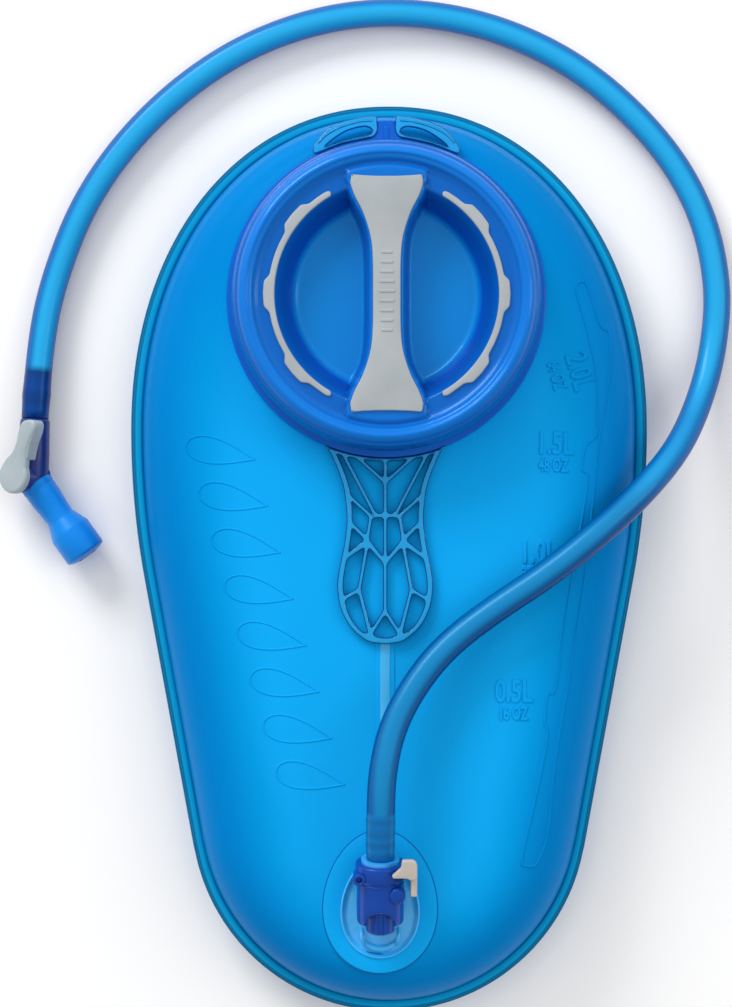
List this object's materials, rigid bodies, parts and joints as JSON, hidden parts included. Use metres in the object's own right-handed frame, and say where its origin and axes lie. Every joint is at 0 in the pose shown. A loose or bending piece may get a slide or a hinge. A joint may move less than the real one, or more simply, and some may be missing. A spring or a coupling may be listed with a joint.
{
  "type": "hydration bladder",
  "caption": "Flat soft water reservoir with a screw cap, lattice filling handle, quick-release outlet and a drinking tube ending in a shut-off bite valve.",
  "frame": {"origin": "middle of the bag's footprint, on the surface that it lies on", "axes": "+Z out of the front panel, +Y towards the filling port, +X to the right seen from the front"},
  "size_m": [0.27, 0.3727, 0.0624],
  "materials": {
    "film": "glossy translucent film",
    "blue_plastic": "glossy moulded",
    "navy_plastic": "satin moulded",
    "light_blue_plastic": "glossy moulded",
    "clear_plastic": "clear glossy",
    "grey_rubber": "matt soft touch",
    "grey_plastic": "matt moulded",
    "seal_rubber": "matt",
    "spring_steel": "drawn wire",
    "tube": "glossy translucent hose",
    "silicone": "satin silicone"
  },
  "bodies": {
    "reservoir": {"front_panel": "film", "back_panel": "film", "center_baffle": "film", "outlet_patch": "film", "fill_port_collar": "blue_plastic", "hanger_wings": "clear_plastic", "outlet_port": "clear_plastic", "coupling_housing": "navy_plastic", "handle_anchor": "clear_plastic", "button_spring": "spring_steel", "poppet_spring": "spring_steel"},
    "handle": {"carry_handle": "clear_plastic"},
    "cap_riser": {"cap_seal": "seal_rubber"},
    "cap": {"cap_shell": "blue_plastic", "cap_inner_plate": "blue_plastic", "cap_bar_pad": "grey_rubber", "grip_pad_left": "grey_rubber", "grip_pad_right": "grey_rubber"},
    "button": {"release_button": "grey_plastic"},
    "poppet": {"shutoff_poppet": "navy_plastic"},
    "drink_line": {"tube_fitting": "light_blue_plastic", "fitting_o_ring": "seal_rubber", "drink_tube": "tube", "valve_body": "navy_plastic"},
    "lever": {"shutoff_lever": "grey_plastic", "shutoff_rotor": "navy_plastic"},
    "bite": {"bite_valve": "silicone"}
  },
  "joints": [
    {"name": "cap_rise", "type": "slide", "parent": "reservoir", "child": "cap_riser", "axis": [0, 0, 1], "range_m": [0, 0.0075]},
    {"name": "cap_turn", "type": "hinge", "parent": "cap_riser", "child": "cap", "pos_m": [-0.0012, 0.0936, 0.05], "axis": [0, 0, 1], "range_deg": [0, 330]},
    {"name": "handle_lift", "type": "hinge", "parent": "reservoir", "child": "handle", "pos_m": [-0.0016, 0.036, 0.0415], "axis": [-1, 0, 0], "range_deg": [0, 40]},
    {"name": "button_press", "type": "slide", "parent": "reservoir", "child": "button", "axis": [-1, 0, 0], "range_m": [0, 0.0015], "stiffness_N_per_m": 800, "deforming": ["button_spring"]},
    {"name": "line_pull", "type": "slide", "parent": "reservoir", "child": "drink_line", "axis": [0, 0.9781, 0.2079], "range_m": [0, 0.014]},
    {"name": "poppet_close", "type": "slide", "parent": "reservoir", "child": "poppet", "axis": [0, 0.9781, 0.2079], "range_m": [0, 0.0026], "deforming": ["poppet_spring"]},
    {"name": "lever_turn", "type": "hinge", "parent": "drink_line", "child": "lever", "pos_m": [-0.1319, 0.0297, 0.008], "axis": [0.6682, -0.035, -0.7431], "range_deg": [0, 90]},
    {"name": "bite_pull", "type": "slide", "parent": "drink_line", "child": "bite", "axis": [0.5821, -0.8131, 0], "range_m": [0, 0.013]}
  ],
  "couplings": [
    {"joint": "cap_rise", "follows": "cap_turn", "m_per_rad": 0.0012732},
    {"joint": "poppet_close", "follows": "line_pull", "ratio": 0.17857}
  ]
}
